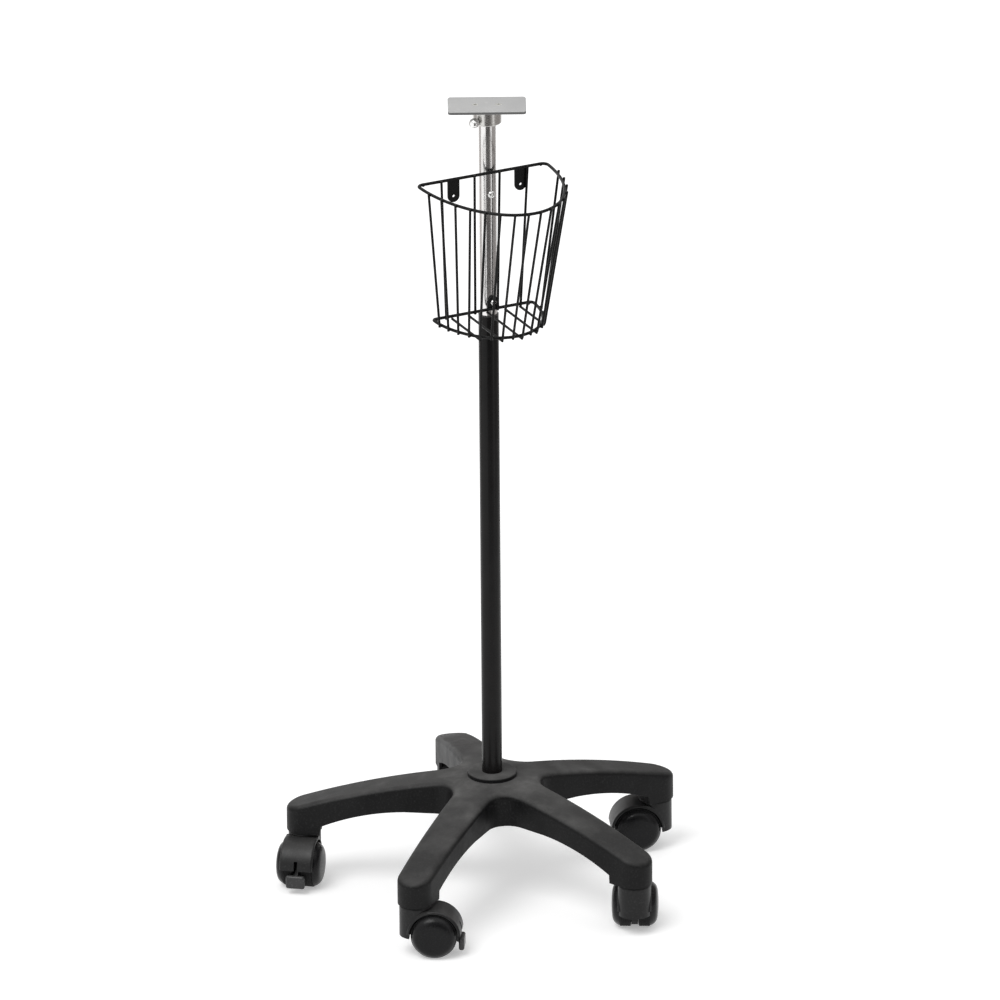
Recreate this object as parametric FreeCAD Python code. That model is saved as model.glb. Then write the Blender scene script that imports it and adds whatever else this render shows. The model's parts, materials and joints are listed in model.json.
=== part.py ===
"""Mobile roll stand: five-arm caster base, telescoping post, wire basket and clamped top plate.

Frame: +Z up, floor at Z = 0, origin on the floor under the post axis, front towards -Y.
Every piece is written to parts/NAME.step at its place in the assembled stand.
"""
import FreeCAD, Part
import math
import os
from FreeCAD import Vector

# ---------------------------------------------------------------- driving dimensions (mm, degrees)
# post
outer_tube_d = 25.4
outer_tube_wall = 1.0
outer_tube_bottom = 104.0
outer_tube_top = 770.0
inner_tube_d = 22.2
inner_tube_wall = 1.5
inner_tube_bottom = 430.0
inner_tube_top = 1043.0
running_gap = 0.05
bush_length = 40.0
bush_lip = 1.0
slider_length = 30.0

# star base
arm_count = 5
first_arm_angle = 4.5
arm_radius = 238.0
arm_root_half_width = 27.0
arm_tip_half_width = 22.5
arm_wall = 3.5
hub_top = 150.0
hub_disc_radius = 31.0
hub_disc_height = 4.0
hub_fillet = 26.0
arm_edge_radius = 7.0
arm_underside = 103.0
socket_bottom = 67.2
hub_boss_radius = 20.0
hub_boss_bottom = 96.0
rib_thickness = 2.6
hub_bolt_d = 10.0

# casters
corner_names = ("right", "rear", "left", "front_left", "front_right")
caster_turns = (159.5, -90.0, -127.5, -30.5, 62.5)
braked_corners = ("left", "front_left")
wheel_radius = 29.0
wheel_tread_outer = 19.0
wheel_inner_face = 4.6
caster_half_width = 29.5
caster_trail = 24.0
hood_radius = 34.0
hood_inner_radius = 31.0
hood_half_width = 21.0
hood_top = 66.5
housing_radius = 20.5
web_half_width = 4.0
axle_d = 6.0
stem_d = 11.0
stem_bottom = 50.5
lever_half_width = 2.0
pad_half_width = 12.0
brake_pin_d = 3.0

# basket
basket_shift = -15.5
basket_back_y = -15.2
wire_d = 3.2
rim_wire_d = 4.0
weld_depth = 0.2
rim_top_z = 964.0
rim_bottom_z = 782.5
rim_top_half_width = 88.5
rim_top_depth = 151.0
rim_bottom_half_width = 68.7
rim_bottom_depth = 98.0
rim_corner_angle = 3.0
front_wire_count = 16
front_wire_step = 10.2
back_wire_x_top = (-56.5, -11.0, 23.5, 62.0)
back_wire_x_bottom = (-51.5, -11.5, 19.5, 51.0)
tab_thickness = 2.0
tab_middle_x = -8.0
tab_x = 46.0
tab_width = 16.0
tab_drop = 30.0
tab_hole_d = 3.6
screw_z_basket = 790.0
screw_z_post = 933.0

# head
head_turn = -25.0
plate_width = 97.0
plate_depth = 54.0
plate_thickness = 4.0
plate_corner_radius = 4.0
plate_edge_radius = 1.2
collar_radius = 18.0
collar_bottom = 1025.5
collar_top = 1045.0
plate_screw_x = 14.5
knob_turn = -130.5
knob_z = 1031.2
knob_radius = 6.2
knob_start = 19.6
knob_length = 11.0
clamp_thread_d = 5.0

out_dir = "parts"
os.makedirs(out_dir, exist_ok=True)

UP = Vector(0, 0, 1)


# ---------------------------------------------------------------- helpers
def polar(radius, angle, z=0.0):
    """Point at a radius and a heading (degrees, anticlockwise from +X) about the Z axis."""
    a = math.radians(angle)
    return Vector(radius * math.cos(a), radius * math.sin(a), z)


def cylinder(radius, start, end):
    axis = end.sub(start)
    return Part.makeCylinder(radius, axis.Length, start, axis)


def box(x0, x1, y0, y1, z0, z1):
    return Part.makeBox(x1 - x0, y1 - y0, z1 - z0, Vector(x0, y0, z0))


def tube(outer_radius, inner_radius, z0, z1):
    outer = cylinder(outer_radius, Vector(0, 0, z0), Vector(0, 0, z1))
    inner = cylinder(inner_radius, Vector(0, 0, z0 - 1), Vector(0, 0, z1 + 1))
    return outer.cut(inner)


def turned(edges, centre=Vector(0, 0, 0), axis=UP):
    """Solid of revolution of a closed chain of edges that lies in the XZ plane."""
    face = Part.Face(Part.Wire(Part.__sortEdges__(edges)))
    return face.revolve(centre, axis, 360)


def polyline(points, closed=True):
    if closed:
        points = points + [points[0]]
    return [Part.makeLine(points[i], points[i + 1]) for i in range(len(points) - 1)]


def rz(radius, z):
    return Vector(radius, 0, z)


def arc(a, middle, b):
    return Part.Arc(a, middle, b).toShape()


def wire_along(edge, diameter):
    """Round wire swept along one smooth open edge."""
    start = edge.FirstParameter
    section = Part.Wire(Part.makeCircle(diameter / 2.0, edge.valueAt(start), edge.tangentAt(start)))
    return Part.Wire([edge]).makePipeShell([section], True, False)


def turned_about_z(shape, angle):
    copy = shape.copy()
    copy.rotate(Vector(0, 0, 0), UP, angle)
    return copy


def export(name, shape):
    shape.exportStep(os.path.join(out_dir, name + ".step"))


# ---------------------------------------------------------------- star base
def top_line(offset=0.0):
    """Crowned top of the arms, hub to tip, lowered by an offset."""
    return arc(rz(hub_disc_radius, hub_top - 1.5 - offset), rz(150, 129.5 - offset), rz(265, 97 - offset))


def star_plan(root_half, tip_half, tip_radius, fillet, z0, z1):
    """Five tapered arms with rounded tips and filleted roots, as an upright prism."""
    prism = None
    for i in range(arm_count):
        points = [
            Vector(0, -root_half, z0),
            Vector(arm_radius, -tip_half, z0),
            Vector(arm_radius, tip_half, z0),
            Vector(0, root_half, z0),
        ]
        arm = Part.Face(Part.Wire(polyline(points))).extrude(Vector(0, 0, z1 - z0))
        tip = cylinder(tip_radius, Vector(arm_radius, 0, z0), Vector(arm_radius, 0, z1))
        arm = turned_about_z(arm.fuse(tip), first_arm_angle + i * 360.0 / arm_count)
        prism = arm if prism is None else prism.fuse(arm)
    prism = prism.removeSplitter()
    inner_corner_radius = root_half / math.sin(math.pi / arm_count)
    corners = []
    for edge in prism.Edges:
        if len(edge.Vertexes) != 2:
            continue
        a, b = (vertex.Point for vertex in edge.Vertexes)
        upright = abs(a.x - b.x) < 0.01 and abs(a.y - b.y) < 0.01
        if upright and math.hypot(a.x, a.y) < inner_corner_radius + 6:
            corners.append(edge)
    return prism.makeFillet(fillet, corners)


def outer_envelope():
    """Body of revolution that gives the arms their crowned top and arched underside."""
    edges = [
        top_line(),
        Part.makeLine(rz(265, 97), rz(265, 60)),
        Part.makeLine(rz(265, 60), rz(218, 60)),
        Part.makeLine(rz(218, 60), rz(217, 78)),
        arc(rz(217, 78), rz(190, 88.5), rz(112, arm_underside)),
        Part.makeLine(rz(112, arm_underside), rz(0, arm_underside)),
        Part.makeLine(rz(0, arm_underside), rz(0, hub_top)),
        Part.makeLine(rz(0, hub_top), rz(hub_disc_radius, hub_top)),
        Part.makeLine(rz(hub_disc_radius, hub_top), rz(hub_disc_radius, hub_top - 1.5)),
    ]
    return turned(edges)


def inner_envelope():
    """Space under the skin of the arms, open downwards."""
    skin = arm_wall + 0.5
    ceiling = top_line(skin)
    start, end = rz(hub_disc_radius, hub_top - 1.5 - skin), rz(265, 97 - skin)
    edges = [
        ceiling,
        Part.makeLine(end, rz(265, 40)),
        Part.makeLine(rz(265, 40), rz(0, 40)),
        Part.makeLine(rz(0, 40), rz(0, start.z)),
        Part.makeLine(rz(0, start.z), start),
    ]
    return turned(edges)


def star_base():
    plan = star_plan(arm_root_half_width, arm_tip_half_width, arm_tip_half_width, hub_fillet, 50, 170)
    body = plan.common(outer_envelope())
    top_edges = []
    for edge in body.Edges:
        middle = edge.valueAt((edge.FirstParameter + edge.LastParameter) / 2.0)
        if middle.z > 95 and math.hypot(middle.x, middle.y) > hub_disc_radius + 2:
            if abs(edge.BoundBox.ZLength) < 60 and not_upright(edge) and near_top(middle):
                top_edges.append(edge)
    body = body.makeFillet(arm_edge_radius, top_edges)
    for i in range(arm_count):
        place = polar(arm_radius, first_arm_angle + i * 360.0 / arm_count)
        low, high = place.add(Vector(0, 0, socket_bottom)), place.add(Vector(0, 0, 92))
        body = body.fuse(cylinder(arm_tip_half_width - 0.5, low, high))
    floor_cut = Part.makeCylinder(300, 20, Vector(0, 0, socket_bottom - 20))
    body = body.cut(floor_cut)
    disc_low = Vector(0, 0, hub_top - 6)
    disc = cylinder(hub_disc_radius, disc_low, Vector(0, 0, hub_top + hub_disc_height))
    rim = [e for e in disc.Edges if abs(e.BoundBox.ZMin - hub_top - hub_disc_height) < 0.01 and e.Length > 100]
    body = body.fuse(disc.makeFillet(2.5, rim))

    inner_root, inner_tip = arm_root_half_width - arm_wall, arm_tip_half_width - arm_wall
    cavity = star_plan(inner_root, inner_tip, inner_tip, hub_fillet, 45, 165).common(inner_envelope())
    keep = [cylinder(hub_boss_radius, Vector(0, 0, 30), Vector(0, 0, 160))]
    for i in range(arm_count):
        heading = first_arm_angle + i * 360.0 / arm_count
        socket = polar(arm_radius, heading)
        keep.append(cylinder(arm_tip_half_width, socket.add(Vector(0, 0, 30)), socket.add(Vector(0, 0, 150))))
        rib = box(0, arm_radius, -rib_thickness / 2, rib_thickness / 2, 30, 160)
        keep.append(turned_about_z(rib, heading))
        for station in (85.0, 135.0, 182.0):
            rib = box(station, station + rib_thickness, -30, 30, 30, 160)
            keep.append(turned_about_z(rib, heading))
    cavity = cavity.cut(keep[0].fuse(keep[1:]))
    body = body.cut(cavity)

    boss = cylinder(hub_boss_radius, Vector(0, 0, hub_boss_bottom), Vector(0, 0, 130))
    body = body.fuse(boss)
    seat = cylinder(outer_tube_d / 2, Vector(0, 0, outer_tube_bottom), Vector(0, 0, 200))
    bolt_hole = cylinder(hub_bolt_d / 2 + 0.4, Vector(0, 0, 60), Vector(0, 0, 200))
    body = body.cut(seat.fuse(bolt_hole))
    for i in range(arm_count):
        place = polar(arm_radius, first_arm_angle + i * 360.0 / arm_count)
        bore = cylinder(stem_d / 2, place.add(Vector(0, 0, 40)), place.add(Vector(0, 0, stem_top() + 1)))
        body = body.cut(bore)
    return body.removeSplitter()


def not_upright(edge):
    a, b = edge.firstVertex().Point, edge.lastVertex().Point
    return math.hypot(a.x - b.x, a.y - b.y) > 0.5 or edge.Closed


def near_top(point):
    """True where a point lies on the crowned top surface of the arms."""
    radius = math.hypot(point.x, point.y)
    line = top_line()
    probe = Part.makeLine(rz(radius, 60), rz(radius, 170))
    return abs(line.distToShape(probe)[1][0][0].z - point.z) < 1.5


def stem_top():
    return 89.0


def tube_plug():
    """Threaded steel plug pressed in the foot of the outer tube."""
    inner_radius = outer_tube_d / 2 - outer_tube_wall
    plug = cylinder(inner_radius, Vector(0, 0, outer_tube_bottom), Vector(0, 0, outer_tube_bottom + 20))
    thread = cylinder(hub_bolt_d / 2, Vector(0, 0, 90), Vector(0, 0, 140))
    return plug.cut(thread)


def hub_washer():
    return tube(14.0, hub_bolt_d / 2 + 0.3, hub_boss_bottom - 2.0, hub_boss_bottom)


def hub_bolt():
    """Hexagon-head bolt that pulls the post down into the hub."""
    head_top = hub_boss_bottom - 2.0
    head_height = 6.4
    corners = [polar(17.0 / math.sqrt(3), 60 * i, head_top - head_height) for i in range(6)]
    head = Part.Face(Part.Wire(polyline(corners))).extrude(Vector(0, 0, head_height))
    shank = cylinder(hub_bolt_d / 2, Vector(0, 0, head_top - 1), Vector(0, 0, outer_tube_bottom + 18))
    return head.fuse(shank)


# ---------------------------------------------------------------- post
def outer_tube():
    body = tube(outer_tube_d / 2, outer_tube_d / 2 - outer_tube_wall, outer_tube_bottom, outer_tube_top)
    return body.cut(cylinder(2.6, Vector(0, 5, set_screw_z()), Vector(0, 20, set_screw_z())))


def set_screw_z():
    return outer_tube_top - 22.0


def guide_bush():
    """Plastic sleeve in the mouth of the outer tube, with a thin lip on its rim."""
    bore = inner_tube_d / 2 + running_gap
    seat = outer_tube_d / 2 - outer_tube_wall
    sleeve = tube(seat, bore, outer_tube_top - bush_length, outer_tube_top + bush_lip)
    lip = tube(outer_tube_d / 2, bore, outer_tube_top, outer_tube_top + bush_lip)
    body = sleeve.fuse(lip)
    return body.cut(cylinder(2.6, Vector(0, 5, set_screw_z()), Vector(0, 20, set_screw_z())))


def height_set_screw():
    """Socket set screw through the back of the outer tube, bearing on the inner tube."""
    y0, y1 = inner_tube_d / 2 + running_gap, outer_tube_d / 2 + 3.5
    z = set_screw_z()
    body = cylinder(2.6, Vector(0, y0, z), Vector(0, y1, z))
    corners = []
    for i in range(6):
        p = polar(1.5, 60 * i)
        corners.append(Vector(p.x, y1 - 2.2, z + p.y))
    socket = Part.Face(Part.Wire(polyline(corners))).extrude(Vector(0, 5, 0))
    return body.cut(socket)


def inner_tube():
    body = tube(inner_tube_d / 2, inner_tube_d / 2 - inner_tube_wall, inner_tube_bottom, inner_tube_top)
    for z in (screw_z_basket, screw_z_post):
        body = body.cut(cylinder(2.0, Vector(0, -20, z), Vector(0, 0, z)))
    return body


def slider_plug():
    """Plastic glide in the foot of the inner tube, running inside the outer tube."""
    guide = outer_tube_d / 2 - outer_tube_wall - running_gap
    spigot = inner_tube_d / 2 - inner_tube_wall
    z = inner_tube_bottom
    low = cylinder(guide, Vector(0, 0, z - slider_length), Vector(0, 0, z))
    high = cylinder(spigot, Vector(0, 0, z - 1), Vector(0, 0, z + 14))
    hollow = cylinder(6.5, Vector(0, 0, z - slider_length - 1), Vector(0, 0, z + 8))
    return low.fuse(high).cut(hollow)


def front_screw(z, seat_y, head_d, reach):
    """Cross-recessed pan-head screw driven into the front of the inner tube."""
    r, h = head_d / 2, 2.8
    edges = [
        Part.makeLine(rz(0, 0), rz(r, 0)),
        Part.makeLine(rz(r, 0), rz(r, 0.8)),
        arc(rz(r, 0.8), rz(r * 0.72, h * 0.8), rz(0.5, h)),
        Part.makeLine(rz(0.5, h), rz(0, h)),
        Part.makeLine(rz(0, h), rz(0, 0)),
    ]
    head = turned(edges)
    shank = cylinder(2.0, Vector(0, 0, -reach), Vector(0, 0, 0.5))
    slot = 1.1
    cross = box(-2.2, 2.2, -slot / 2, slot / 2, h - 1.5, h + 1).fuse(box(-slot / 2, slot / 2, -2.2, 2.2, h - 1.5, h + 1))
    screw = head.fuse(shank).cut(cross)
    screw.rotate(Vector(0, 0, 0), Vector(1, 0, 0), 90)
    screw.translate(Vector(0, seat_y, z))
    return screw


# ---------------------------------------------------------------- basket
def rim_level(fraction):
    """Half width, depth and height of the basket outline between the bottom (0) and top (1) rims."""
    half = rim_bottom_half_width + fraction * (rim_top_half_width - rim_bottom_half_width)
    depth = rim_bottom_depth + fraction * (rim_top_depth - rim_bottom_depth)
    return half, depth, rim_bottom_z + fraction * (rim_top_z - rim_bottom_z)


def outline_point(fraction, angle, outward=0.0):
    """Point on the front curve of the basket: angle 0 at the right corner, 180 at the left."""
    half, depth, z = rim_level(fraction)
    a = math.radians(angle)
    point = Vector(basket_shift + half * math.cos(a), basket_back_y - depth * math.sin(a), z)
    return point.add(outline_normal(fraction, angle).multiply(outward))


def outline_normal(fraction, angle):
    """Outward unit normal of the basket's front curve."""
    half, depth, _ = rim_level(fraction)
    a = math.radians(angle)
    normal = Vector(math.cos(a) / half, -math.sin(a) / depth, 0)
    return normal.normalize()


def basket_rim(fraction):
    """Closed D-shaped wire: straight back bar, bent corners and half-ellipse front."""
    half, depth, z = rim_level(fraction)
    meet = rim_corner_angle
    right = outline_point(fraction, meet)
    inward = outline_normal(fraction, meet).multiply(-1)
    bend = (basket_back_y - right.y) / (1 + inward.y)
    hub = right.add(inward.multiply(bend))
    start = Vector(hub.x, basket_back_y, z)
    halfway = right.sub(hub).add(start.sub(hub)).normalize().multiply(bend)
    corner = wire_along(arc(start, hub.add(halfway), right), rim_wire_d)
    other_corner = corner.mirror(Vector(basket_shift, 0, 0), Vector(1, 0, 0))

    front = Part.BSplineCurve()
    front.interpolate([outline_point(fraction, angle) for angle in front_angles(meet)])
    end = Vector(2 * basket_shift - hub.x, basket_back_y, z)
    bar = cylinder(rim_wire_d / 2, end, start)
    pieces = [corner, other_corner, wire_along(front.toShape(), rim_wire_d)]
    return bar.fuse(pieces).removeSplitter()


def front_angles(meet):
    steps = 30
    return [meet + (180 - 2 * meet) * i / steps for i in range(steps + 1)]


def front_wire_angles():
    span = front_wire_step * (front_wire_count - 1)
    return [90 - span / 2 + i * front_wire_step for i in range(front_wire_count)]


def weld_distance():
    """Distance between the centre lines of a wire and the rim it is welded to."""
    return (rim_wire_d + wire_d) / 2 - weld_depth


def front_wires():
    """Upright wires welded to the outside of both rims."""
    wires = []
    above, below = Vector(0, 0, wire_d * 0.7), Vector(0, 0, wire_d * 0.5)
    for angle in front_wire_angles():
        top = outline_point(1.0, angle, weld_distance()).add(above)
        bottom = outline_point(0.0, angle, weld_distance()).sub(below)
        wires.append(cylinder(wire_d / 2, bottom, top))
    return Part.makeCompound(wires)


def floor_wires():
    """Every second front wire carries on under the bottom rim to the back bar."""
    wires = []
    level = rim_bottom_z - weld_distance()
    for angle in front_wire_angles()[3:12:2]:
        front = outline_point(0.0, angle, weld_distance() - wire_d * 0.2)
        start = Vector(front.x, front.y, level)
        end = Vector(front.x, basket_back_y - wire_d * 0.1, level)
        wires.append(cylinder(wire_d / 2, start, end))
    return Part.makeCompound(wires)


def back_wires():
    """Upright wires on the front side of the two back bars."""
    wires = []
    y = basket_back_y - weld_distance()
    for x_top, x_bottom in zip(back_wire_x_top, back_wire_x_bottom):
        low = Vector(basket_shift + x_bottom, y, rim_bottom_z - wire_d / 2)
        high = Vector(basket_shift + x_top, y, rim_top_z + wire_d / 2)
        wires.append(cylinder(wire_d / 2, low, high))
    return Part.makeCompound(wires)


def upper_tab(x):
    """Flat lug hanging from the top back bar, with a screw hole near its rounded end."""
    y0, y1 = basket_back_y - tab_thickness / 2, basket_back_y + tab_thickness / 2
    half = tab_width / 2
    bottom = rim_top_z - tab_drop
    weld_z = rim_top_z - rim_wire_d / 2 + weld_depth
    body = box(x - half, x + half, y0, y1, bottom + half, weld_z)
    end = cylinder(half, Vector(x, y0, bottom + half), Vector(x, y1, bottom + half))
    body = body.fuse(end)
    hole_z = bottom + half
    return body.cut(cylinder(tab_hole_d / 2, Vector(x, y0 - 1, hole_z), Vector(x, y1 + 1, hole_z)))


def lower_tab():
    """Lug standing on the bottom back bar and screwed to the post."""
    y0, y1 = basket_back_y + 0.6, -inner_tube_d / 2 - 0.2
    half = 8.0
    body = box(-half, half, y0, y1, rim_bottom_z - 1.0, screw_z_basket)
    end = cylinder(half, Vector(0, y0, screw_z_basket), Vector(0, y1, screw_z_basket))
    hole = cylinder(2.3, Vector(0, y0 - 1, screw_z_basket), Vector(0, y1 + 1, screw_z_basket))
    return body.fuse(end).cut(hole)


# ---------------------------------------------------------------- head
def clamp_collar():
    """Round socket that slips over the top of the inner tube and carries the plate."""
    body = cylinder(collar_radius, Vector(0, 0, collar_bottom), Vector(0, 0, collar_top))
    low = [e for e in body.Edges if e.Closed and e.BoundBox.ZMax < collar_bottom + 0.01]
    body = body.makeFillet(1.5, low)
    bore_radius = inner_tube_d / 2 + running_gap
    body = body.cut(cylinder(bore_radius, Vector(0, 0, collar_bottom - 1), Vector(0, 0, inner_tube_top + 0.3)))
    for x in (-plate_screw_x, plate_screw_x):
        body = body.cut(cylinder(2.0, Vector(x, 0, collar_top - 10), Vector(x, 0, collar_top + 1)))
    start, end = polar(5, knob_turn, knob_z), polar(30, knob_turn, knob_z)
    return body.cut(cylinder(clamp_thread_d / 2 + 0.03, start, end))


def mount_plate():
    """Flat rectangular plate that carries the instrument."""
    half_w, half_d = plate_width / 2, plate_depth / 2
    top = collar_top + plate_thickness
    body = box(-half_w, half_w, -half_d, half_d, collar_top, top)
    upright = [e for e in body.Edges if e.BoundBox.ZLength > plate_thickness - 0.01]
    body = body.makeFillet(plate_corner_radius, upright)
    rim = [e for e in body.Edges if e.BoundBox.ZLength < 0.01]
    body = body.makeFillet(plate_edge_radius, rim)
    for x in (-plate_screw_x, plate_screw_x):
        hole = cylinder(2.2, Vector(x, 0, collar_top - 1), Vector(x, 0, top + 1))
        sink = Part.makeCone(2.0, 4.3, 2.4, Vector(x, 0, top - 2.4))
        body = body.cut(hole.fuse(sink))
    return body


def plate_screws():
    """Two countersunk screws that hold the plate on the collar."""
    screws = []
    top = collar_top + plate_thickness
    for x in (-plate_screw_x, plate_screw_x):
        head = Part.makeCone(1.8, 4.1, 2.3, Vector(x, 0, top - 2.4))
        shank = cylinder(1.98, Vector(x, 0, collar_top - 8), Vector(x, 0, top - 2.0))
        slot = 0.9
        cross = box(x - 2, x + 2, -slot / 2, slot / 2, top - 1.3, top + 1)
        cross = cross.fuse(box(x - slot / 2, x + slot / 2, -2, 2, top - 1.3, top + 1))
        screws.append(head.fuse(shank).cut(cross))
    return Part.makeCompound(screws)


def clamp_knob():
    """Round thumb knob: fluted rim and domed face, turned about its own axis."""
    r, length = knob_radius, knob_length
    thread = clamp_thread_d / 2
    edges = polyline(
        [
            rz(1.5, length),
            rz(0, length),
            rz(0, 6),
            rz(thread, 6),
            rz(thread, 0),
            rz(r * 0.62, 0),
            rz(r * 0.7, 1.6),
            rz(r, 2.6),
            rz(r, length - 3.6),
        ],
        closed=False,
    )
    edges.append(arc(rz(r, length - 3.6), rz(r * 0.75, length - 1.1), rz(1.5, length)))
    knob = turned(edges)
    flutes = 18
    for i in range(flutes):
        place = polar(r + 0.55, (i + 0.5) * 360.0 / flutes)
        flute = cylinder(0.9, place.add(Vector(0, 0, 1)), place.add(Vector(0, 0, length - 3.0)))
        knob = knob.cut(flute)
    return place_on_knob_axis(knob, knob_start)


def clamp_screw():
    """Threaded stud of the thumb knob, bearing on the inner tube."""
    tip = inner_tube_d / 2 + running_gap
    stud = cylinder(clamp_thread_d / 2, Vector(0, 0, 0), Vector(0, 0, knob_start + 6 - tip))
    return place_on_knob_axis(stud, tip)


def place_on_knob_axis(shape, distance):
    """Turn a Z-axis shape to the knob heading and set its foot at a distance from the post axis."""
    shape.rotate(Vector(0, 0, 0), Vector(0, 1, 0), 90)
    shape.rotate(Vector(0, 0, 0), UP, knob_turn)
    shape.translate(polar(distance, knob_turn, knob_z))
    return shape


# ---------------------------------------------------------------- casters (stem axis at X = Y = 0, trail along +X)
def across(radius, w0, w1, x=caster_trail, z=wheel_radius):
    """Cylinder along the axle direction between two offsets from the caster's middle plane."""
    return cylinder(radius, Vector(x, w0, z), Vector(x, w1, z))


def caster_stem():
    """Steel pin pressed in the arm socket; its lower end is the swivel pivot of the hood."""
    pin = cylinder(stem_d / 2, Vector(0, 0, stem_bottom), Vector(0, 0, stem_top()))
    groove = tube(stem_d / 2 + 1, stem_d / 2 - 1.0, 74.0, 80.0)
    return pin.cut(groove)


def caster_grip_ring():
    """Split spring ring in the groove of the stem, gripping the socket."""
    ring = tube(stem_d / 2, stem_d / 2 - 1.0, 74.0, 80.0)
    slit = box(0, 10, -0.8, 0.8, 70, 84)
    return ring.cut(slit)


def caster_hood(braked):
    """Swivel housing with the fender over both wheels and the web that carries the axle."""
    outer = across(hood_radius, -hood_half_width, hood_half_width)
    rims = [e for e in outer.Edges if e.Closed]
    outer = outer.makeFillet(2.5, rims)
    fender = outer.common(box(-60, caster_trail + 60, -30, 30, wheel_radius + 2, 80))
    housing = cylinder(housing_radius, Vector(0, 0, 25), Vector(0, 0, hood_top))
    crown = [e for e in housing.Edges if e.Closed and e.BoundBox.ZMin > hood_top - 0.01]
    housing = housing.makeFillet(3.0, crown)
    saddle = box(0, caster_trail - 6, -housing_radius, housing_radius, 45, hood_top - 5)
    body = fender.fuse(housing).fuse(saddle.common(across(hood_radius + 1.0, -30, 30)))
    for side in (-1, 1):
        well = across(hood_inner_radius, side * web_half_width, side * 40)
        body = body.cut(well)
    web = across(hood_inner_radius - 2.5, -web_half_width, web_half_width)
    web = web.common(box(-60, caster_trail + 14, -10, 10, 8, 60))
    body = body.fuse(web)
    body = body.cut(cylinder(stem_d / 2 + running_gap, Vector(0, 0, stem_bottom - 0.4), Vector(0, 0, 80)))
    body = body.cut(across(axle_d / 2, -20, 20))
    if braked:
        gap = lever_half_width + 0.3
        slot = box(caster_trail + 4.5, 90, -gap, gap, -5, wheel_radius + 14)
        body = body.cut(slot)
        body = body.cut(across(brake_pin_d / 2, -20, 20, *lever_pivot()))
    return body.removeSplitter()


def lever_pivot():
    """X and Z of the brake lever's pin."""
    return caster_trail + 10.5, wheel_radius + 1.0


def caster_axle():
    return across(axle_d / 2, -22.0, 22.0)


def caster_wheel(side):
    """Domed wheel with a recessed inner face, blind-bored for the axle."""
    inner, tread, tip = wheel_inner_face, wheel_tread_outer, caster_half_width
    dome_middle = rz(wheel_radius * 0.8, tread + (tip - tread) * 0.62)
    bore = axle_d / 2 + running_gap
    edges = polyline(
        [
            rz(0, tip),
            rz(0, 22.5),
            rz(bore, 22.5),
            rz(bore, inner),
            rz(7.0, inner),
            rz(7.5, 16.0),
            rz(23.0, 16.0),
            rz(24.5, inner),
            rz(wheel_radius - 1.5, inner),
            rz(wheel_radius, inner + 1.5),
            rz(wheel_radius, tread),
        ],
        closed=False,
    )
    edges.append(arc(rz(wheel_radius, tread), dome_middle, rz(12.0, tip - 0.4)))
    edges.append(Part.makeLine(rz(12.0, tip - 0.4), rz(0, tip)))
    wheel = turned(edges)
    wheel.rotate(Vector(0, 0, 0), Vector(1, 0, 0), -90)
    if side < 0:
        wheel.rotate(Vector(0, 0, 0), UP, 180)
    wheel.translate(Vector(caster_trail, 0, wheel_radius))
    return wheel


def brake_lever():
    """Foot lever between the wheels with a broad pad behind them."""
    x, z = lever_pivot()
    t = lever_half_width
    eye = across(5.0, -t, t, x, z)
    points = [
        Vector(x + 1, -t, z + 4.8),
        Vector(x + 22, -t, z - 7),
        Vector(x + 22, -t, z - 16),
        Vector(x - 3, -t, z - 3),
    ]
    arm = Part.Face(Part.Wire(polyline(points))).extrude(Vector(0, 2 * t, 0))
    pad = box(x + 20, x + 27, -pad_half_width, pad_half_width, z - 22, z - 5)
    pad = pad.makeFillet(2.8, pad.Edges)
    hole = across(brake_pin_d / 2 + running_gap, -20, 20, x, z)
    return eye.fuse(arm).fuse(pad).cut(hole).removeSplitter()


def brake_pin():
    return across(brake_pin_d / 2, -web_half_width, web_half_width, *lever_pivot())


def place_caster(shape, index):
    """Turn a caster piece to its rest heading and move it under its arm."""
    placed = turned_about_z(shape, caster_turns[index])
    placed.translate(polar(arm_radius, first_arm_angle + index * 360.0 / arm_count))
    return placed


# ---------------------------------------------------------------- export
def build():
    export("star_base", star_base())
    export("tube_plug", tube_plug())
    export("hub_washer", hub_washer())
    export("hub_bolt", hub_bolt())
    export("outer_tube", outer_tube())
    export("guide_bush", guide_bush())
    export("height_set_screw", height_set_screw())

    export("inner_tube", inner_tube())
    export("slider_plug", slider_plug())
    export("basket_top_rim", basket_rim(1.0))
    export("basket_bottom_rim", basket_rim(0.0))
    export("basket_front_wires", front_wires())
    export("basket_floor_wires", floor_wires())
    export("basket_back_wires", back_wires())
    export("basket_tab_left", upper_tab(tab_middle_x - tab_x))
    export("basket_tab_right", upper_tab(tab_middle_x + tab_x))
    export("basket_tab_lower", lower_tab())
    export("basket_screw", front_screw(screw_z_basket, basket_back_y + 0.6, 8.0, 7.0))
    export("post_screw", front_screw(screw_z_post, -inner_tube_d / 2 + 0.3, 9.0, 3.0))

    export("clamp_collar", place_head(clamp_collar()))
    export("mount_plate", place_head(mount_plate()))
    export("plate_screws", place_head(plate_screws()))
    export("clamp_knob", place_head(clamp_knob()))
    export("clamp_screw", place_head(clamp_screw()))

    for index, name in enumerate(corner_names):
        braked = name in braked_corners
        prefix = "caster_" + name
        export(prefix + "_stem", place_caster(caster_stem(), index))
        export(prefix + "_grip_ring", place_caster(caster_grip_ring(), index))
        export(prefix + "_hood", place_caster(caster_hood(braked), index))
        export(prefix + "_axle", place_caster(caster_axle(), index))
        export(prefix + "_wheel_a", place_caster(caster_wheel(1), index))
        export(prefix + "_wheel_b", place_caster(caster_wheel(-1), index))
        if braked:
            export(prefix + "_brake_lever", place_caster(brake_lever(), index))
            export(prefix + "_brake_pin", place_caster(brake_pin(), index))


def place_head(shape):
    return turned_about_z(shape, head_turn)


build()
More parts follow.
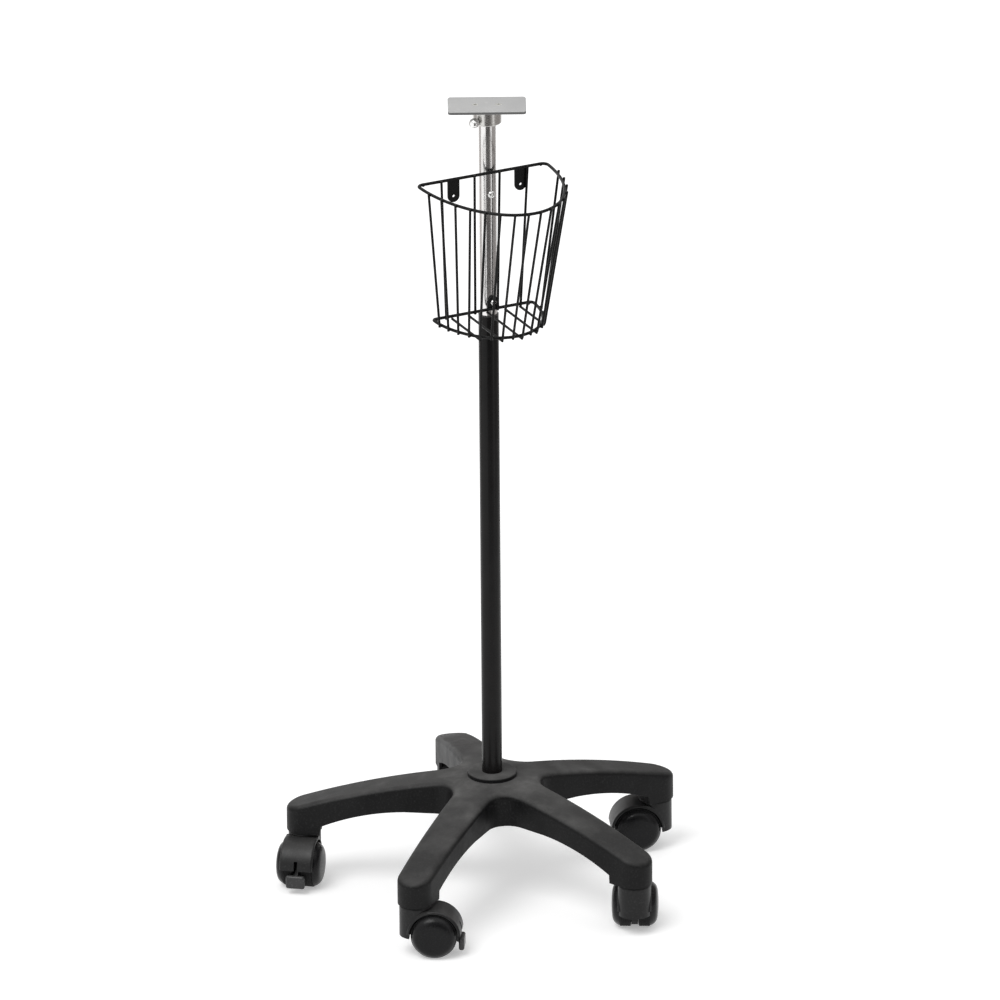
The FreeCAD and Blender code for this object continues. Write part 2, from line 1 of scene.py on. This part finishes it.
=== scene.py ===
"""Looks of a mobile roll stand: caster base, telescoping post, wire basket and clamped top plate."""
import json
import math
import random

import bmesh
import bpy
from mathutils import Matrix, Vector
from mathutils.kdtree import KDTree
from mathutils.noise import noise as ripple


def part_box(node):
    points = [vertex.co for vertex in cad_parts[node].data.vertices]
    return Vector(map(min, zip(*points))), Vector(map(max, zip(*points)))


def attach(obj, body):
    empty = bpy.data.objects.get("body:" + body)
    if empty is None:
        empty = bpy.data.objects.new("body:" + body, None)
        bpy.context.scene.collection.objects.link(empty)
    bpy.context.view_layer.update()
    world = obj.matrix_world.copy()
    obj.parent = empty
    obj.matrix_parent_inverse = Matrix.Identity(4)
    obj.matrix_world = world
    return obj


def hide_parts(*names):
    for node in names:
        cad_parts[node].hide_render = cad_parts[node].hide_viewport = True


MM = 0.001

# camera: angles in degrees, lengths in metres, lens in mm
CAMERA_AZIMUTH = -25.5
CAMERA_ELEVATION = 22.0
CAMERA_DISTANCE = 24.0
CAMERA_ROLL = 0.45
CAMERA_LENS = 691.4
AIM_HEIGHT = 0.520
AIM_RIGHT = 0.0125
SENSOR_WIDTH = 36.0

# lamps: azimuth, elevation, strength, width of the light in degrees
KEY_LIGHT = (-70, 58, 1.5, 34)
FILL_LIGHT = (60, 45, 0.15, 60)
WORLD_LEVEL = 0.66
SEEN_WORLD_LEVEL = 1.0
FLOOR_COLOUR = (0.80, 0.80, 0.80)
FLOOR_GLOW = 0.34
FLOOR_REACH = 40.0
FLOOR_CORNERS = 96

# screens that only polished surfaces see: name, first and last azimuth, distance, tone
FLAGS = (
    ("flag_left", -150, -112, 1.40, 0.50),
    ("flag_front", -44, 4, 1.25, 0.15),
    ("flag_middle", 4, 20, 1.30, 0.36),
    ("flag_side", 34, 112, 1.35, 0.36),
    ("flag_back", 125, 165, 1.45, 0.24),
)
FLAG_HEIGHT = 1.5
FLAG_STEPS = 12
FLAG_TINT = (1.0, 0.95, 0.93)

# wheels, in mm: tread radius, groove depth, half widths of a groove at its top and foot, groove places
TREAD_RADIUS = 29.0
GROOVE_RADIUS = 28.6
GROOVE_TOP = 0.45
GROOVE_FOOT = 0.25
GROOVES = (9.4, 12.4, 15.4)
CAP_CROWN = 2.1
CAP_STEPS = 14
WHEEL_SIDES = 112
WHEEL_SHARP_ANGLE = 40

# weld beads, in metres: half sizes at the upright and at the floor wires, and how far a wire's end reaches
UPRIGHT_BEAD = (0.0017, 0.0017, 0.0021)
FLOOR_BEAD = (0.0018, 0.0018, 0.0016)
WIRE_END = 0.0008
BEAD_RIPPLE = 0.22

# colour of the dust on faces that look up, which also paints the light falling on them from above
DUST_AND_TOP_LIGHT_COLOUR = (0.29, 0.285, 0.28)

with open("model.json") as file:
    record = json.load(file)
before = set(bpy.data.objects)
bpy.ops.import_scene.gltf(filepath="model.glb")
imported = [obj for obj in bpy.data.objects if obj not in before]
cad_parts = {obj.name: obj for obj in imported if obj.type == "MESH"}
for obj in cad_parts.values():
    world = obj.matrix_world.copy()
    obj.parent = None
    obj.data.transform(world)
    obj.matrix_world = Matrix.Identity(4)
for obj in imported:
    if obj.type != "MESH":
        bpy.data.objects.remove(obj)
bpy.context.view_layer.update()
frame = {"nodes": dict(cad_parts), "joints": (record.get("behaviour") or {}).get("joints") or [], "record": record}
rng = random.Random(7)
scene = bpy.context.scene
scene.view_settings.view_transform = "Standard"


# ---------------------------------------------------------------- material building blocks
class Finish:
    """One procedural material, built around its Principled shader."""

    def __init__(self, name):
        self.material = bpy.data.materials.new(name)
        self.material.use_nodes = True
        self.tree = self.material.node_tree
        self.shader = self.tree.nodes["Principled BSDF"]
        self.place = self.add("ShaderNodeTexCoord").outputs["Object"]
        self.height = None

    def add(self, kind, inputs=None, **settings):
        node = self.tree.nodes.new(kind)
        for key, value in settings.items():
            setattr(node, key, value)
        for key, value in (inputs or {}).items():
            self.feed(value, node.inputs[key])
        return node

    def feed(self, value, socket):
        if isinstance(value, bpy.types.NodeSocket):
            self.tree.links.new(value, socket)
        elif isinstance(value, (tuple, list)) and len(value) == 3 and socket.type == "RGBA":
            socket.default_value = (*value, 1.0)
        else:
            socket.default_value = value

    def set(self, **values):
        """Shader sockets by name, with _ for a space."""
        for key, value in values.items():
            self.feed(value, self.shader.inputs[key.replace("_", " ")])

    def noise(self, scale, detail=3.0, roughness=0.55, stretch=(1, 1, 1)):
        place = self.add("ShaderNodeMapping", {"Vector": self.place, "Scale": Vector(stretch)})
        inputs = {"Vector": place.outputs[0], "Scale": scale, "Detail": detail, "Roughness": roughness}
        return self.add("ShaderNodeTexNoise", inputs).outputs["Fac"]

    def cells(self, scale):
        return self.add("ShaderNodeTexVoronoi", {"Vector": self.place, "Scale": scale}).outputs["Distance"]

    def spread(self, value, low, high, to_low=0.0, to_high=1.0):
        inputs = {"Value": value, "From Min": low, "From Max": high, "To Min": to_low, "To Max": to_high}
        return self.add("ShaderNodeMapRange", inputs).outputs["Result"]

    def math(self, operation, a, b=0.0):
        node = self.add("ShaderNodeMath", operation=operation)
        self.feed(a, node.inputs[0])
        self.feed(b, node.inputs[1])
        return node.outputs[0]

    def mix(self, mask, a, b):
        node = self.add("ShaderNodeMix", data_type="RGBA")
        self.feed(mask, node.inputs["Factor"])
        colours = [s for s in node.inputs if s.type == "RGBA"]
        self.feed(a, colours[0])
        self.feed(b, colours[1])
        return next(s for s in node.outputs if s.type == "RGBA")

    def bump(self, height, distance, strength=1.0):
        """Adds a relief of a given depth in metres on top of the ones before it."""
        inputs = {"Height": height, "Distance": distance, "Strength": strength}
        if self.height is not None:
            inputs["Normal"] = self.height
        self.height = self.add("ShaderNodeBump", inputs).outputs["Normal"]
        self.feed(self.height, self.shader.inputs["Normal"])

    def upward(self):
        """How far a face looks up, from -1 to 1."""
        normal = self.add("ShaderNodeNewGeometry").outputs["Normal"]
        return self.add("ShaderNodeSeparateXYZ", {"Vector": normal}).outputs["Z"]

    def worn_edge(self, radius, low=0.03, high=0.22):
        """Mask of the sharp edges, broken up by fine noise."""
        rounded = self.add("ShaderNodeBevel", {"Radius": radius}, samples=4).outputs["Normal"]
        true = self.add("ShaderNodeNewGeometry").outputs["Normal"]
        turn = self.add("ShaderNodeVectorMath", {0: rounded, 1: true}, operation="DOT_PRODUCT")
        edge = self.spread(self.math("SUBTRACT", 1.0, turn.outputs["Value"]), low, high)
        return self.math("MULTIPLY", edge, self.spread(self.noise(260, 4, 0.6), 0.42, 0.66))

    def dust_and_top_light(self, amount):
        """Thin dust on the faces that look up, strong enough to also paint the light that falls on them from
        above.
        """
        lying = self.spread(self.upward(), 0.35, 0.95)
        patches = self.spread(self.noise(22, 5, 0.6), 0.4, 0.75, 0.35, 1.0)
        return self.math("MULTIPLY", self.math("MULTIPLY", lying, patches), amount)

    def scratches(self, scale):
        """Mask of short, thin rub marks."""
        return self.spread(self.noise(scale, 2, 0.5, (1, 1, 14)), 0.7, 0.74)


def moulded(name, dark, light, grain, grain_depth, rough, specular, edge, dust_and_top_light=0.0, hub_painted_highlight=False):
    """Moulded plastic: slow colour drift, fine leather-like grain, dust and painted top light on faces that look
    up, polished edges.
    """
    f = Finish(name)
    drift = f.spread(f.noise(9, 4), 0.35, 0.68)
    colour = f.mix(drift, dark, light)
    speck = f.spread(f.noise(430, 2), 0.52, 0.74, 0.0, 0.6)
    colour = f.mix(speck, colour, tuple(c * 2.2 for c in light))
    roughness = f.spread(f.noise(40, 5, 0.65), 0.3, 0.72, rough - 0.07, rough + 0.07)
    # dust on the faces that look up, made lighter than dust alone as painted top light
    if dust_and_top_light:
        dust_and_top_light_mask = f.dust_and_top_light(dust_and_top_light)
        # painted highlight: upward faces near the hub are made lighter, as if more light fell there
        if hub_painted_highlight:
            reach = f.add("ShaderNodeVectorMath", {0: f.place}, operation="LENGTH").outputs["Value"]
            dust_and_top_light_mask = f.math("MULTIPLY", dust_and_top_light_mask, f.spread(reach, 0.08, 0.24, 2.1, 0.75))
        colour = f.mix(dust_and_top_light_mask, colour, DUST_AND_TOP_LIGHT_COLOUR)
        roughness = f.math("MAXIMUM", roughness, f.math("MULTIPLY", dust_and_top_light_mask, 4.0))
    rub = f.worn_edge(edge)
    colour = f.mix(f.math("MULTIPLY", rub, 0.5), colour, tuple(min(1, c * 3 + 0.02) for c in light))
    roughness = f.math("SUBTRACT", roughness, f.math("MULTIPLY", rub, 0.12))
    f.set(Base_Color=colour, Roughness=roughness, Specular_IOR_Level=specular)
    f.bump(f.cells(grain), grain_depth, 0.5)
    f.bump(f.noise(grain * 0.16, 3), grain_depth * 3.0, 0.25)
    return f.material


def painted(name, dark, light, rough, specular, peel=0.00006, chip=None, rim=None):
    """Powder coat: orange peel, slight tone drift, chipped edges, and painted shade in the rim tone on the upright
    sides.
    """
    f = Finish(name)
    colour = f.mix(f.spread(f.noise(14, 4), 0.35, 0.68), dark, light)
    roughness = f.spread(f.noise(60, 4, 0.6), 0.3, 0.7, rough - 0.06, rough + 0.06)
    # painted shade: faces that stand upright get the darker rim colour
    if rim:
        level = f.math("ABSOLUTE", f.upward())
        colour = f.mix(f.spread(level, 0.75, 0.35), colour, rim)
    rub = f.math("MULTIPLY", f.scratches(90), 0.10)
    colour = f.mix(rub, colour, tuple(min(1, c * 1.8 + 0.03) for c in light))
    if chip:
        chipped = f.worn_edge(0.0009, 0.10, 0.3)
        colour = f.mix(f.math("MULTIPLY", chipped, 0.45), colour, chip)
    f.set(Base_Color=colour, Roughness=roughness, Specular_IOR_Level=specular)
    f.bump(f.noise(420, 2, 0.4), peel, 0.5)
    f.bump(f.noise(55, 2), peel * 3.0, 0.2)
    return f.material


def metal(name, tone, rough, stretch=(1, 1, 1), grain=500, grain_depth=0.00001, stain=(0.5, 0.48, 0.45)):
    """Bare or plated metal: lay of the machining, smudges in the gloss, slight staining."""
    f = Finish(name)
    smudge = f.spread(f.noise(24, 2, 0.5), 0.42, 0.72)
    stained = tuple(t * s * 1.5 for t, s in zip(tone, stain))
    colour = f.mix(f.math("MULTIPLY", smudge, 0.30), tone, stained)
    lay = f.noise(grain, 2, 0.5, stretch)
    dull = f.spread(smudge, 0, 1, rough, rough + 0.06)
    roughness = f.math("ADD", dull, f.spread(lay, 0.4, 0.7, 0.0, 0.03))
    rub = f.worn_edge(0.0006, 0.08, 0.3)
    colour = f.mix(f.math("MULTIPLY", rub, 0.4), colour, tuple(min(1, t * 1.15) for t in tone))
    f.set(Base_Color=colour, Roughness=roughness, Metallic=1.0)
    f.bump(lay, grain_depth, 0.35)
    return f.material


# ---------------------------------------------------------------- the finishes
finishes = {
    "base_plastic": moulded(
        "charcoal_moulding",
        dark=(0.0055, 0.0055, 0.0057),
        light=(0.011, 0.011, 0.0112),
        grain=1500,
        grain_depth=0.00005,
        rough=0.46,
        specular=0.12,
        edge=0.0016,
        # dust and painted top light on the base's upward faces
        dust_and_top_light=0.27,
        # painted highlight on the tops near the hub
        hub_painted_highlight=True,
    ),
    "hood_plastic": moulded(
        "hood_moulding",
        dark=(0.008, 0.008, 0.0082),
        light=(0.015, 0.015, 0.0152),
        grain=1800,
        grain_depth=0.00003,
        rough=0.38,
        specular=0.20,
        edge=0.0009,
        dust_and_top_light=0.16,
    ),
    "wheel_plastic": moulded(
        "wheel_moulding",
        dark=(0.004, 0.004, 0.0044),
        light=(0.007, 0.007, 0.0076),
        grain=2200,
        grain_depth=0.00002,
        rough=0.27,
        specular=0.18,
        edge=0.0007,
        dust_and_top_light=0.05,
    ),
    "lever_plastic": moulded(
        "lever_moulding",
        dark=(0.020, 0.020, 0.021),
        light=(0.036, 0.036, 0.037),
        grain=1600,
        grain_depth=0.00003,
        rough=0.36,
        specular=0.35,
        edge=0.0007,
        dust_and_top_light=0.20,
    ),
    "glide_plastic": moulded(
        "glide_moulding",
        dark=(0.014, 0.014, 0.014),
        light=(0.022, 0.022, 0.022),
        grain=2000,
        grain_depth=0.00002,
        rough=0.40,
        specular=0.4,
        edge=0.0005,
    ),
    "black_steel": painted(
        "black_tube_paint",
        dark=(0.0045, 0.0042, 0.0042),
        light=(0.0085, 0.0078, 0.0078),
        rough=0.26,
        specular=0.15,
    ),
    "basket_coating": painted(
        "dipped_wire_coat",
        dark=(0.004, 0.004, 0.004),
        light=(0.008, 0.008, 0.008),
        rough=0.34,
        specular=0.14,
        peel=0.00012,
    ),
    "plate_paint": painted(
        "grey_plate_paint",
        dark=(0.40, 0.40, 0.40),
        light=(0.47, 0.47, 0.465),
        rough=0.42,
        specular=0.35,
        peel=0.00005,
        chip=(0.16, 0.15, 0.14),
        # painted shade on the plate's upright sides
        rim=(0.13, 0.13, 0.13),
    ),
    "tread": moulded(
        "tread_rubber",
        dark=(0.005, 0.005, 0.0052),
        light=(0.009, 0.009, 0.0092),
        grain=900,
        grain_depth=0.00006,
        rough=0.62,
        specular=0.16,
        edge=0.0006,
        dust_and_top_light=0.04,
    ),
    "chrome_tube": metal(
        "chrome_plating",
        tone=(0.78, 0.77, 0.765),
        rough=0.15,
        stretch=(1, 1, 0.02),
        grain=700,
        grain_depth=0.0000002,
        stain=(0.62, 0.60, 0.57),
    ),
    "collar_steel": metal(
        "turned_steel",
        tone=(0.62, 0.61, 0.59),
        rough=0.24,
        stretch=(0.05, 0.05, 1),
        grain=1800,
        grain_depth=0.00002,
    ),
    "bright_screw": metal(
        "bright_plating", tone=(0.86, 0.86, 0.85), rough=0.12, grain=900, stain=(0.62, 0.6, 0.58)
    ),
    "zinc_steel": metal("zinc_plating", tone=(0.66, 0.66, 0.63), rough=0.26, grain=600, grain_depth=0.00002),
}
slot_of = {part["node"]: part["material_slot"] for part in frame["record"]["subparts"]}
for node, piece in frame["nodes"].items():
    for place in piece.material_slots:
        place.material = finishes[slot_of[node]]


# ---------------------------------------------------------------- meshes
def linked(name, data):
    """A new object of a mesh, lamp or camera, in the scene."""
    made = bpy.data.objects.new(name, data)
    scene.collection.objects.link(made)
    return made


def finished(name, bm, slots):
    """A new object of a bmesh, with the named finishes."""
    mesh = bpy.data.meshes.new(name)
    bm.to_mesh(mesh)
    bm.free()
    for slot in slots:
        mesh.materials.append(finishes[slot])
    return linked(name, mesh)


# ---------------------------------------------------------------- wheels: moulded cap, grooved soft tread
def dome(start, end, crown, count):
    """Points of the wheel cap's bulging outline, after the first of two (radius, offset) points."""
    points = []
    for i in range(1, count + 1):
        t = i / count
        bulge = math.sin(math.pi * t) * crown
        points.append(tuple(a + (b - a) * t + bulge for a, b in zip(start, end)))
    return points


def wheel_outline():
    """(radius, offset along the axle) in mm from bore to cap centre, and the tread's first and last point."""
    inner = [(3.05, 4.6), (7.0, 4.6), (7.5, 15.8), (22.8, 15.8), (24.5, 4.6), (27.4, 4.6), (28.6, 5.1)]
    inner.append((TREAD_RADIUS, 6.1))
    tread = []
    for groove in GROOVES:
        tread += [(TREAD_RADIUS, groove - GROOVE_TOP), (GROOVE_RADIUS, groove - GROOVE_FOOT)]
        tread += [(GROOVE_RADIUS, groove + GROOVE_FOOT), (TREAD_RADIUS, groove + GROOVE_TOP)]
    tread += [(TREAD_RADIUS, 17.9), (28.8, 18.5), (28.3, 18.8), (27.7, 18.8)]
    cap = [(27.7, 19.2), (27.9, 19.7)] + dome((27.7, 20.6), (12.0, 28.9), CAP_CROWN, CAP_STEPS)
    cap += [(9.0, 29.2), (5.0, 29.35), (0.0, 29.4)]
    return inner + tread + cap, len(inner) - 1, len(inner) + len(tread) - 1


def turned_wheel(name, centre, axle, node, body):
    """The wheel's outline turned round its axle, in place of the plain wheel of the CAD."""
    outline, tread_from, tread_to = wheel_outline()
    side = 1.0 if (sum(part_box(node), Vector()) / 2 - centre).dot(axle) > 0 else -1.0
    axle = axle * side
    across = axle.orthogonal().normalized()
    third = axle.cross(across)
    bm = bmesh.new()
    rings = []
    for radius, offset in outline:
        ring = []
        for i in range(WHEEL_SIDES if radius else 1):
            a = 2 * math.pi * i / WHEEL_SIDES
            spoke = across * math.cos(a) + third * math.sin(a)
            ring.append(bm.verts.new(centre + (axle * offset + spoke * radius) * MM))
        rings.append(ring)
    for k in range(len(rings) - 1):
        low, high = rings[k], rings[k + 1]
        for i in range(WHEEL_SIDES):
            j = (i + 1) % WHEEL_SIDES
            far = [high[0]] if len(high) == 1 else [high[j], high[i]]
            face = bm.faces.new([low[i], low[j]] + far)
            face.smooth = True
            face.material_index = 1 if tread_from <= k < tread_to else 0
    bmesh.ops.recalc_face_normals(bm, faces=bm.faces)
    made = finished(name, bm, ("wheel_plastic", "tread"))
    made.data.set_sharp_from_angle(angle=math.radians(WHEEL_SHARP_ANGLE))
    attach(made, body)
    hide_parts(node)


# ---------------------------------------------------------------- weld beads where the basket's wires cross
def islands(node):
    """The separate solids of a CAD node, each as a list of points."""
    bm = bmesh.new()
    bm.from_mesh(frame["nodes"][node].data)
    bmesh.ops.remove_doubles(bm, verts=bm.verts, dist=1e-6)
    left = set(bm.verts)
    found = []
    while left:
        group, edge = [], [left.pop()]
        while edge:
            vert = edge.pop()
            group.append(vert.co.copy())
            for link in vert.link_edges:
                other = link.other_vert(vert)
                if other in left:
                    left.remove(other)
                    edge.append(other)
        found.append(group)
    bm.free()
    return sorted(found, key=lambda g: (round(g[0].x, 4), round(g[0].y, 4)))


def ends(points, direction):
    """Middle of each end of a straight wire."""
    reach = [p.dot(direction) for p in points]
    low, high = min(reach), max(reach)
    first = [p for p, d in zip(points, reach) if d < low + WIRE_END]
    last = [p for p, d in zip(points, reach) if d > high - WIRE_END]
    return sum(first, Vector()) / len(first), sum(last, Vector()) / len(last)


def nearest(node, point):
    """The mesh point of a CAD node that lies nearest to a point."""
    verts = frame["nodes"][node].data.vertices
    tree = KDTree(len(verts))
    for i, vert in enumerate(verts):
        tree.insert(vert.co, i)
    tree.balance()
    return Vector(tree.find(point)[0])


def bead(bm, place, size):
    """One small uneven blob of weld metal under the coating."""
    turn = Matrix.Rotation(rng.uniform(0, math.pi), 4, "Z")
    made = bmesh.ops.create_icosphere(bm, subdivisions=3, radius=1.0)["verts"]
    seed = Vector((rng.random() * 9, rng.random() * 9, rng.random() * 9))
    for vert in made:
        swell = 1.0 + BEAD_RIPPLE * ripple(vert.co * 1.7 + seed)
        vert.co = place + turn @ Vector([c * s for c, s in zip(vert.co, size)]) * swell


def welds():
    """A bead at every crossing of the basket's wires with its rims."""
    bm = bmesh.new()
    level = {rim: sum(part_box(rim), Vector()).z / 2 for rim in ("basket_top_rim", "basket_bottom_rim")}
    for node in ("basket_front_wires", "basket_back_wires"):
        for wire in islands(node):
            low, high = ends(wire, Vector((0, 0, 1)))
            for rim, z in level.items():
                crossing = low.lerp(high, (z - low.z) / (high.z - low.z))
                bead(bm, nearest(rim, crossing), UPRIGHT_BEAD)
    for wire in islands("basket_floor_wires"):
        for end in ends(wire, Vector((0, 1, 0))):
            bead(bm, nearest("basket_bottom_rim", end), FLOOR_BEAD)
    for face in bm.faces:
        face.smooth = True
    made = finished("basket_welds", bm, ("basket_coating",))
    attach(made, "post")


for joint in frame["joints"]:
    if "_wheel_" in joint["name"]:
        node = frame["record"]["behaviour"]["bodies"][joint["child"]][0]
        axle = Vector(joint["axis"]).normalized()
        turned_wheel(node + "_turned", Vector(joint["pos_m"]), axle, node, joint["child"])
welds()


# ---------------------------------------------------------------- stage, lamps and camera
def stage_material(name, colour, camera_glow):
    """Matt white surface; the camera also sees a little glow, so that clean paper reads as white."""
    f = Finish(name)
    drift = f.spread(f.noise(3, 2), 0.3, 0.7)
    f.set(
        Base_Color=f.mix(drift, tuple(c * 0.99 for c in colour), colour),
        Roughness=0.9,
        Specular_IOR_Level=0.0,
        Emission_Color=(1, 1, 1),
    )
    seen = f.add("ShaderNodeLightPath").outputs
    mirrored = f.math("MAXIMUM", seen["Is Glossy Ray"], seen["Is Transmission Ray"])
    direct = f.math("MAXIMUM", seen["Is Camera Ray"], mirrored)
    f.feed(f.math("MULTIPLY", direct, camera_glow), f.shader.inputs["Emission Strength"])
    return f.material


def floor():
    ring = []
    for i in range(FLOOR_CORNERS):
        a = 2 * math.pi * i / FLOOR_CORNERS
        ring.append((FLOOR_REACH * math.cos(a), FLOOR_REACH * math.sin(a), 0.0))
    mesh = bpy.data.meshes.new("floor")
    mesh.from_pydata(ring, [], [tuple(range(FLOOR_CORNERS))])
    mesh.materials.append(stage_material("white_floor", FLOOR_COLOUR, FLOOR_GLOW))
    made = linked("floor", mesh)


def heading(azimuth, elevation):
    """Direction from the object towards an azimuth and elevation; azimuth 0 is the front, 90 the right."""
    a, e = math.radians(azimuth), math.radians(elevation)
    return Vector((math.sin(a) * math.cos(e), -math.cos(a) * math.cos(e), math.sin(e)))


def flag(name, first, last, distance, tone):
    """A grey screen standing round part of the set, which only polished surfaces see."""
    spans = [first + (last - first) * i / FLAG_STEPS for i in range(FLAG_STEPS + 1)]
    feet = [heading(azimuth, 0.0) * distance for azimuth in spans]
    rise = Vector((0, 0, FLAG_HEIGHT))
    top = FLAG_STEPS + 1
    mesh = bpy.data.meshes.new(name)
    panels = [(i, i + 1, i + top + 1, i + top) for i in range(FLAG_STEPS)]
    mesh.from_pydata([tuple(p) for p in feet] + [tuple(p + rise) for p in feet], [], panels)
    cloth = Finish(name + "_cloth")
    cloth.set(Base_Color=(0, 0, 0), Roughness=1.0, Specular_IOR_Level=0.0)
    cloth.set(Emission_Color=FLAG_TINT, Emission_Strength=tone)
    mesh.materials.append(cloth.material)
    card = linked(name, mesh)
    card.visible_camera = False
    card.visible_diffuse = False
    card.visible_shadow = False
    card.visible_transmission = False


def sun(name, azimuth, elevation, strength, spread):
    lamp = bpy.data.lights.new(name, "SUN")
    lamp.energy = strength
    lamp.angle = math.radians(spread)
    made = linked(name, lamp)
    made.rotation_mode = "QUATERNION"
    made.rotation_quaternion = (-heading(azimuth, elevation)).to_track_quat("-Z", "Y")


def studio():
    """Even white world, a little brighter where it is seen directly or mirrored, and two soft suns."""
    world = bpy.data.worlds.new("studio")
    scene.world = world
    world.use_nodes = True
    tree = world.node_tree
    sky = tree.nodes["Background"]
    sky.inputs["Color"].default_value = (1, 1, 1, 1)
    seen = tree.nodes.new("ShaderNodeLightPath").outputs
    level = seen["Is Camera Ray"]
    for kind in ("Is Glossy Ray", "Is Transmission Ray"):
        either = tree.nodes.new("ShaderNodeMath")
        either.operation = "MAXIMUM"
        tree.links.new(level, either.inputs[0])
        tree.links.new(seen[kind], either.inputs[1])
        level = either.outputs[0]
    strength = tree.nodes.new("ShaderNodeMapRange")
    strength.inputs["To Min"].default_value = WORLD_LEVEL
    strength.inputs["To Max"].default_value = SEEN_WORLD_LEVEL
    tree.links.new(level, strength.inputs["Value"])
    tree.links.new(strength.outputs["Result"], sky.inputs["Strength"])
    sun("key", *KEY_LIGHT)
    sun("fill", *FILL_LIGHT)


def camera():
    lens = bpy.data.cameras.new("camera")
    lens.lens = CAMERA_LENS
    lens.sensor_width = SENSOR_WIDTH
    lens.clip_end = 300.0
    made = linked("camera", lens)
    back = heading(CAMERA_AZIMUTH, CAMERA_ELEVATION)
    right = Vector((0, 0, 1)).cross(back).normalized()
    aim = Vector((0, 0, AIM_HEIGHT)) + right * AIM_RIGHT
    made.rotation_mode = "QUATERNION"
    level = (-back).to_track_quat("-Z", "Y")
    roll = Matrix.Rotation(math.radians(-CAMERA_ROLL), 4, "Z").to_quaternion()
    made.rotation_quaternion = level @ roll
    made.location = aim + back * CAMERA_DISTANCE
    scene.camera = made


floor()
studio()
camera()
for screen in FLAGS:
    flag(*screen)
